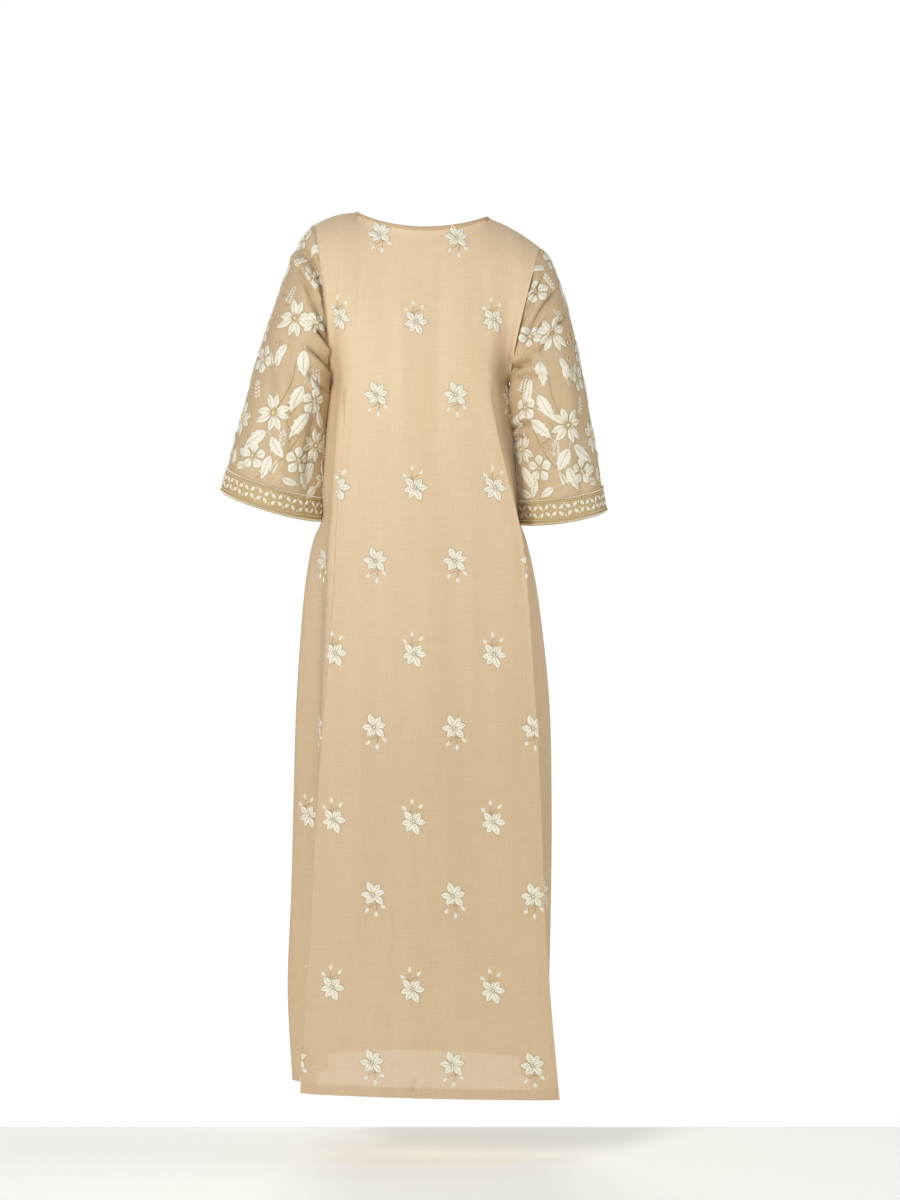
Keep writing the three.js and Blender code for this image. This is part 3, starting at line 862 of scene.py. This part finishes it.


# Thread laid side by side: fine ridges across the way it runs, and a glint where they turn, painted
# as a lighter colour on each crest and a darker one between: painted highlight and painted shade. The
# strands are 0.4 mm apart, and are drawn 1.0 to 3.0 mm apart so that they show.
def floss(name, light, dark, roughness, spacing, metallic=0.0):
    material, tree = new_material(name)
    place = add(tree, "UVMap", uv_map="cloth")
    # A band texture of scale 1 repeats every 0.314 mm.
    bands = {"Vector": place.outputs[0], "Scale": 0.314 / spacing, "Distortion": 0.8, "Detail": 1.0}
    rows = add(tree, "TexWave", bands, wave_type="BANDS", bands_direction="X", wave_profile="SIN")
    # The light colour on each strand's crest is a painted highlight, and the dark one between is painted
    # shade.
    colours = {0: rows.outputs[1], 6: srgb(dark), 7: srgb(light)}
    colour = add(tree, "Mix", colours, data_type="RGBA", blend_type="MIX")
    bump = add(tree, "Bump", {"Height": rows.outputs[1], "Strength": 0.5, "Distance": 0.0005})
    surface = {"Base Color": colour.outputs[2], "Roughness": roughness, "Metallic": metallic}
    surface["Normal"] = bump.outputs[0]
    if not metallic:
        surface.update({"Sheen Weight": 0.3, "Sheen Roughness": 0.35, "Specular IOR Level": 0.45})
    shader = add(tree, "BsdfPrincipled", surface)
    add(tree, "OutputMaterial", {"Surface": shader.outputs[0]})
    return material


# Small glass beads with a pearly lustre fired on: smooth, with a soft second shine over the first.
pearl, tree = new_material("lustred_glass_bead")
lustre = {"Base Color": srgb("#F2E9D6"), "Roughness": 0.22, "Coat Weight": 0.5, "Coat Roughness": 0.1}
shader = add(tree, "BsdfPrincipled", lustre)
add(tree, "OutputMaterial", {"Surface": shader.outputs[0]})
# Untwisted silk floss shines along its stitches. The two-ply outline and the bronze stem are duller,
# and the metal-wrapped thread glints.
THREADS = [
    floss("silk_floss_satin_stitch", "#FAF5E6", "#CFC8B0", 0.42, 3.0),
    floss("two_ply_silk_outline", "#BDB186", "#A1956B", 0.55, 1.0),
    floss("bronze_silk_stem_stitch", "#D2BB8A", "#B59A62", 0.5, 1.2),
    floss("gilt_metal_thread", "#F8ECCB", "#D9BF8B", 0.34, 1.1, metallic=0.25),
    pearl,
]

# ---------------------------------------------------------------------------------------------
# The sprigs: one small flower with a forked stem and three buds, repeated in half-drop rows over
# the whole body and turned over in every other row. Silk satin stitch with a fine outline.

SPRIG_PITCH_ACROSS, SPRIG_PITCH_UP, SPRIG_ROWS = 130, 135.5, 11
# How high the lowest row sits, how much lower than its pitch the top row is, and how far each
# flower's heart lies off its row's line
FIRST_ROW, TOP_ROW_DROP, HEART_OFF = 47, 11, 8
CLEAR_OF_SEAMS = 26
# angle, length and width of each petal from the flower's heart
SPRIG_PETALS = (
    (102, 22, 12), (54, 19, 10.5), (6, 19, 10.5), (-48, 21, 11.5),
    (-106, 13, 8), (174, 19, 11), (224, 17, 10),
)
# The forked stem: from x, y to x, y, bow; each branch ends in a bud
SPRIG_STEMS = ((0, -6, 1, -26, 3), (0.5, -16, -9, -19, 1.5), (1, -15, 10, -17, -1.5))
# How many degrees off upright each sprig leans, in turn
LEANING = (0, 7, -5, 3, -8, 5, -3, 8)


def sprig(work, turn):
    """One sprig about its flower's heart, turned as a whole."""
    for n, (angle, length, width) in enumerate(SPRIG_PETALS):
        x, y = heading(angle + turn)
        curl = 0.05 * (-1) ** n
        pad(work, x * 1.5, y * 1.5, angle + turn, length, width, belly=1.12, curl=curl, thick=1.9)
    for x0, y0, x1, y1, bow in SPRIG_STEMS:
        a = np.linspace(0, 1, 7)
        path = np.stack([mix(x0, x1, a) + bow * np.sin(math.pi * a), mix(y0, y1, a), a * 0], -1)
        cord(work, turned(path, 0, 0, turn)[:, :2], 0.5, 0.4, STEM)
        x, y, _ = turned(np.array([[x1, y1, 0]]), 0, 0, turn)[0]
        lean = 40 * np.sign(x1 - 1)
        pad(work, x, y, turn - 90 + lean, 11.5, 6.0, belly=1.1, thick=2.0, line=False)
    bead(work, 0, 0, 0, 4.0, 4.0, 2.6, PEARL)


def crowded(face, x, t):
    """Whether a sprig there would run into the armhole or the neck."""
    if t > 1380 and abs(x) > 120:
        return True
    return face == "front" and (t > 1150 and abs(x) > 118 or t > 1330 and abs(x) < 60)


def sow(face, cloth, centre, drift):
    """Fills a panel with its rows of sprigs, away from its edges."""
    work = Work()
    for row in range(SPRIG_ROWS):
        t = FIRST_ROW + SPRIG_PITCH_UP * row - (TOP_ROW_DROP if row == SPRIG_ROWS - 1 else 0)
        here = int(np.interp(t, cloth["t"], np.arange(len(cloth["t"]))))
        low, high = cloth["s"][here, 0] + CLEAR_OF_SEAMS, cloth["s"][here, -1] - CLEAR_OF_SEAMS
        upright = row % 2 == 0
        heart = t + (HEART_OFF if upright else -HEART_OFF)
        start = centre + drift * (1 - row / 10)
        for n in range(-5, 6):
            s = start + n * SPRIG_PITCH_ACROSS / 2
            if (n + row) % 2 == 0 or not low < s < high:
                continue
            place = lay(cloth, np.array([s]), np.array([heart]), np.array([0.0]))[0]
            if not crowded(face, place[0], t):
                plant(work, cloth, s, heart, sprig, LEANING[(n * 3 + row) % 8] + (0 if upright else 180))
    return work


# face, then where its middle sprigs stand and how far the lowest row has drifted from there
for face, centre, drift in (("back", -6, -7), ("front", 0, 4)):
    work = sow(face, panels[face]["cloth"], centre, drift)
    made = finish_work(work, face + "_sprigs", panels[face]["cloth"])
    panels[face]["with"].append(made)

# ---------------------------------------------------------------------------------------------
# The neck binding: a bias strip of the body's cloth folded over the neck edge, 7 mm deep inside
# and out, and sewn down along its lower edge.

BINDING_V, BINDING_U = 1.965, 0.507
# The strip's section: how far below the edge, and how far out from the cloth
BINDING_SECTION = (
    (6.8, 0.1), (6.4, 0.7), (3.6, 1.1), (1.0, 1.0), (-0.3, 0.4),
    (-0.4, -0.4), (0.8, -1.1), (3.6, -1.3), (6.4, -1.2),
)
# It thins and narrows by these shares where the shoulder seams run into it.
THINS, NARROWS, NARROW_REACH = 0.8, 0.5, 0.03
half = np.sin(np.linspace(0, math.pi / 2, 34)) * NECK_U
across = np.concatenate([-half[1:][::-1], half])
stations = [("front", u) for u in across] + [("back", u) for u in across[1:-1][::-1]]
edge, lower = [], []
for face, u in stations:
    turn_in = smooth(abs(u) / NECK_U, 0.8, 1.0)
    low_v = mix(BINDING_V, 2.0, turn_in)
    low_u = math.copysign(mix(abs(u), BINDING_U, turn_in), u)
    edge.append(panel_points(face, np.array([u]), np.array([2.0]))[0])
    lower.append(panel_points(face, np.array([low_u]), np.array([low_v]))[0])
edge, lower = np.array(edge), np.array(lower)
up = edge - lower
up = up / np.linalg.norm(up, axis=1, keepdims=True)
facing = np.cross(np.roll(edge, -1, 0) - np.roll(edge, 1, 0), up)
for _ in range(4):
    facing = (np.roll(facing, 1, 0) + 2 * facing + np.roll(facing, -1, 0)) / 4
    facing = facing / np.linalg.norm(facing, axis=1, keepdims=True)
corner = np.exp(-(((np.abs([u for _, u in stations]) - NECK_U) / NARROW_REACH) ** 2))[:, None]
thin, narrow = 1 - THINS * corner, 1 - NARROWS * corner
grid = np.array([edge - up * below * narrow + facing * away * thin for below, away in BINDING_SECTION])
length = np.cumsum(np.linalg.norm(np.diff(edge, axis=0, prepend=edge[:1]), axis=1))
# The body's cloth cut on the bias and folded, so that it looks a shade deeper and lets no light
# through its layers.
binding_cloth = woven_silk_cotton("slub_silk_cotton_bias_binding", "#DEC8A2", "#CDB088", 0.0)
heights = np.array([[below] for below, _ in BINDING_SECTION])
binding = cloth_object("neck_binding_strip", grid, True, binding_cloth, length, heights)
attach(binding, "root")
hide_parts("neck_binding")

# ---------------------------------------------------------------------------------------------
# The cuff borders: a close-stitched band 42 mm deep round each cuff, between two twisted cords of
# gilt thread, with a row of four-petalled stars. It is turned in over the cuff's edge.

# The same cloth under close rows of thread: darker and yellower, with no light through it.
border_cloth = woven_silk_cotton("close_stitched_border_ground", "#D9C496", "#C3A873", 0.0)
# The band's section: how far up the sleeve, and how far out
BORDER_SECTION = (
    (42, 0.2), (41.5, 1.0), (28, 1.1), (14, 1.1), (1, 1.0),
    (-0.6, 0.3), (-0.6, -0.6), (1, -1.2), (9, -1.3),
)
BAND_COLUMNS = 180
# The ropes of beads: how far up each lies, and how thick it is; those over 3 mm mix in pearls
ROPES = ((2.0, 3.4), (7.6, 2.0), (40.0, 3.2), (36.4, 1.6))
STARS_ROUND, STAR_HEIGHT, BEAD_OUT = 22, 22, 9.4
# Heights of the two small leaves between stars
SMALL_LEAVES = (15.5, 28.5)


def star(work, at, lean):
    """Four petals set crosswise, with a bead between each two and a gilt knot in the middle."""
    for q in range(4):
        angle = 45 + 90 * q + lean
        x, y = heading(angle)
        pad(work, at + x * 1.6, STAR_HEIGHT + y * 1.6, angle, 11.6, 6.4, thick=2.0, line=False)
        beside, above = at + y * BEAD_OUT, STAR_HEIGHT - x * BEAD_OUT * 0.95
        bead(work, beside, above, angle + 90, 2.8, 2.0, 1.3, PEARL)
    bead(work, at, STAR_HEIGHT, 0, 3.4, 3.4, 1.9, GOLD, lift=0.6)


for side, sleeve in sleeves.items():
    cloth = sleeve["cloth"]
    length = cloth["round"]
    s = np.linspace(0, length, BAND_COLUMNS + 1)[:-1]
    grid, heights = strip_along_edge(cloth, s, BORDER_SECTION)
    band = cloth_object("cuff_border_" + side + "_band", grid, True, border_cloth, s, heights)
    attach(band, "root")
    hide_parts("cuff_border_" + side)
    work = Work()
    for height, size in ROPES:
        count = int(length / (size * 1.05))
        for k in range(count):
            thread = PEARL if size > 3 and k % 2 else GOLD
            at = length * k / count
            bead(work, at, height, 40, size * 1.25, size * 0.8, size * 0.75, thread, lift=0.3)
    for k in range(STARS_ROUND):
        star(work, length * (k + 0.5) / STARS_ROUND, 6 * (-1) ** k)
        between = length * k / STARS_ROUND
        for y in SMALL_LEAVES:
            angle = 90 if y > STAR_HEIGHT else -90
            pad(work, between, y, angle, 5.5, 2.6, thick=0.9, line=False)
        bead(work, between, STAR_HEIGHT, 45, 2.8, 2.8, 1.2, GOLD)
    stars = finish_work(work, "cuff_border_" + side + "_needlework", cloth, lift=1.1)

# ---------------------------------------------------------------------------------------------
# The sleeve embroidery: eight-petalled flowers with gilt ring hearts, smaller five-petalled
# blossoms, toothed leaves, fine bronze tendrils and sprays of beads, scattered over each sleeve.


def daisy(work, turn, size):
    """The large flower: eight pointed petals round a ring of gilt thread."""
    for q in range(8):
        angle = turn + 45 * q + 4 * (-1) ** q
        x, y = heading(angle)
        reach = size * (0.5 if q % 2 else 0.46) - 4.5
        curl = 0.04 * (-1) ** q
        pad(work, x * 4.5, y * 4.5, angle, reach, size * 0.2, belly=1.0, curl=curl, thick=2.1)
    bead(work, 0, 0, turn, 15, 12, 2.6, STEM)
    for k in range(16):
        a = 2 * math.pi * k / 16
        bead(work, 7.4 * math.cos(a), 6.0 * math.sin(a), math.degrees(a), 3.0, 2.6, 3.4, GOLD)
    bead(work, 0, 0, 0, 5.6, 5.6, 4.0, PEARL)


def blossom(work, turn, size):
    """The small flower: five full petals round a knot of beads."""
    for q in range(5):
        angle = turn + 72 * q
        x, y = heading(angle)
        pad(work, x * 2, y * 2, angle, size * 0.5, size * 0.4, belly=1.5, thick=2.0)
        bead(work, x * 3.4, y * 3.4, angle, 3.4, 2.0, 2.6, GOLD)
    bead(work, 0, 0, 0, 3.8, 3.8, 3.0, PEARL)


def leaf(work, angle, size):
    """A toothed leaf on a short stalk."""
    pad(work, 0, 0, angle, size, size * 0.46, belly=0.85, saw=0.16, curl=0.1, thick=2.0)
    x, y = heading(angle)
    cord(work, [(-x * 10 + y * 3, -y * 10 - x * 3), (-x * 5 + y, -y * 5 - x), (0, 0)], 0.8, 0.7, IVORY)


def tendril(work, angle, length, sweep):
    """A trailing stem that curls at its end."""
    steps = 17
    way = np.radians(angle + sweep * np.linspace(0, 1, steps + 1)[1:] ** 2)
    x = np.concatenate([[0], np.cumsum(np.cos(way) * length / steps)])
    y = np.concatenate([[0], np.cumsum(np.sin(way) * length / steps)])
    cord(work, np.stack([x, y], -1), 0.85, 0.6, STEM)


def spray(work, angle, size):
    """A frond of paired leaflets on a gilt stalk."""
    x, y = heading(angle)
    cord(work, [(x * size * k / 4, y * size * k / 4) for k in range(5)], 0.7, 0.6, GOLD)
    for k in range(1, 5):
        for q in (-1, 1):
            pad(work, x * size * k / 4.4, y * size * k / 4.4, angle + q * 50, 8.5, 4.2, line=False)
    pad(work, x * size, y * size, angle, 8.5, 4.4, line=False)


def fern(work, angle, size):
    """A feathery frond in the dull outline thread."""
    x, y = heading(angle)
    cord(work, [(x * size * k / 5, y * size * k / 5) for k in range(6)], 0.6, 0.5, OUTLINE)
    for k in range(1, 7):
        reach = size * (0.36 - 0.035 * k)
        out = size * k / 6.5
        for q in (-1, 1):
            pad(work, x * out, y * out, angle + q * 52, reach, 3.6, belly=0.9, thick=0.9, line=False)


def hoop(work, angle, size):
    """A little couched circle of gilt purl."""
    a = np.linspace(0, 2 * math.pi, 17)[:-1]
    path = np.stack([np.cos(a) * size / 2, np.sin(a) * size * 0.85 / 2, a * 0], -1)
    cord(work, turned(path, 0, 0, angle)[:, :2], 1.1, 1.4, GOLD, closed=True)


# motif, share of the way from the middle to the outer (+) or inner (-) side, height up from the
# cuff out of LAYOUT_HEIGHT, then its own angle and sizes
LAYOUT_HEIGHT = 425
SLEEVE_LAYOUT = (
    (fern, 0.56, 300, 100, 34), (fern, 0.02, 196, 140, 30), (fern, 0.44, 216, 60, 28),
    (fern, 0.06, 66, 110, 26), (fern, -0.72, 120, 120, 30), (fern, -0.50, 300, 70, 34),
    (fern, 0.96, 66, 110, 28), (fern, 0.16, 330, 150, 24), (hoop, 0.58, 268, 0, 9),
    (hoop, -0.06, 138, 0, 8), (hoop, 0.60, 138, 0, 8), (spray, 0.96, 210, 84, 24),
    (tendril, 0.56, 64, 95, 40, 100), (tendril, -0.20, 160, 20, 44, 120), (spray, -0.94, 170, 90, 22),
    (daisy, 0.30, 312, 10, 66), (leaf, -0.02, 306, -98, 46), (leaf, 0.30, 268, -66, 36),
    (hoop, 0.66, 276, 20, 13), (hoop, 0.76, 262, 0, 9), (tendril, 0.72, 300, 150, 39, 130),
    (blossom, 0.34, 396, 0, 41), (spray, 0.60, 352, 84, 25), (blossom, -0.06, 372, 30, 34),
    (leaf, -0.16, 258, -70, 46), (leaf, -0.34, 226, -50, 46), (leaf, 0.34, 226, 84, 32),
    (tendril, 0.06, 268, -94, 80, 40), (daisy, 0.20, 164, 5, 68), (blossom, 0.68, 212, 30, 48),
    (blossom, 0.90, 240, 0, 39), (daisy, 0.78, 124, 22, 66), (spray, 0.50, 160, 62, 30),
    (leaf, 0.16, 128, -126, 46), (leaf, 0.24, 130, -38, 50), (blossom, 0.34, 84, 10, 43),
    (leaf, 0.10, 98, -74, 43), (leaf, 0.62, 84, 196, 34), (spray, 0.42, 66, -10, 15),
    (leaf, 0.84, 78, 60, 34), (spray, 0.68, 58, 70, 17), (tendril, 0.52, 110, 250, 50, -80),
    (leaf, 0.98, 176, 88, 39), (leaf, 0.82, 320, 62, 41), (leaf, 0.62, 392, 110, 36),
    (blossom, 0.90, 388, 0, 41), (hoop, 0.46, 252, 0, 10), (blossom, -0.40, 262, 20, 41),
    (spray, -0.44, 232, 96, 23), (daisy, -0.56, 172, 30, 59), (tendril, -0.30, 196, -72, 96, 70),
    (blossom, -0.28, 112, 15, 43), (leaf, -0.36, 92, -112, 34), (leaf, -0.56, 128, -64, 46),
    (daisy, -0.82, 92, 12, 57), (spray, -0.44, 72, 100, 25), (leaf, -0.10, 66, 200, 32),
    (leaf, -0.84, 146, 74, 39), (blossom, -0.86, 214, 8, 41), (leaf, -0.66, 66, -24, 30),
    (spray, -0.02, 118, 88, 23), (hoop, -0.16, 150, 0, 10), (leaf, -0.66, 232, 60, 34),
    (tendril, -0.70, 270, 250, 68, -90), (spray, 0.96, 300, 100, 21), (hoop, 0.96, 96, 0, 10),
    (leaf, -0.30, 306, -100, 34),
)
# The front of each sleeve carries the same design, turned over.
for side, sleeve in sleeves.items():
    cloth = sleeve["cloth"]
    work = Work()
    for half_turn, outward in ((0.0, OUT[side]), (0.5, -OUT[side])):
        for motif, share, height, angle, *sizes in SLEEVE_LAYOUT:
            t = height * cloth["t"][-1] / LAYOUT_HEIGHT
            # Across the back, columns run from the wearer's left to right, so that outwards is
            # against them on the left sleeve.
            s = (half_turn - outward * share / 4) * cloth["round"]
            if outward > 0:
                angle = 180 - angle
                if motif is tendril:
                    sizes = [sizes[0], -sizes[1]]
            plant(work, cloth, s, t, motif, angle, *sizes)
    made = finish_work(work, "sleeve_" + side + "_needlework", cloth)
    sleeve["with"].append(made)
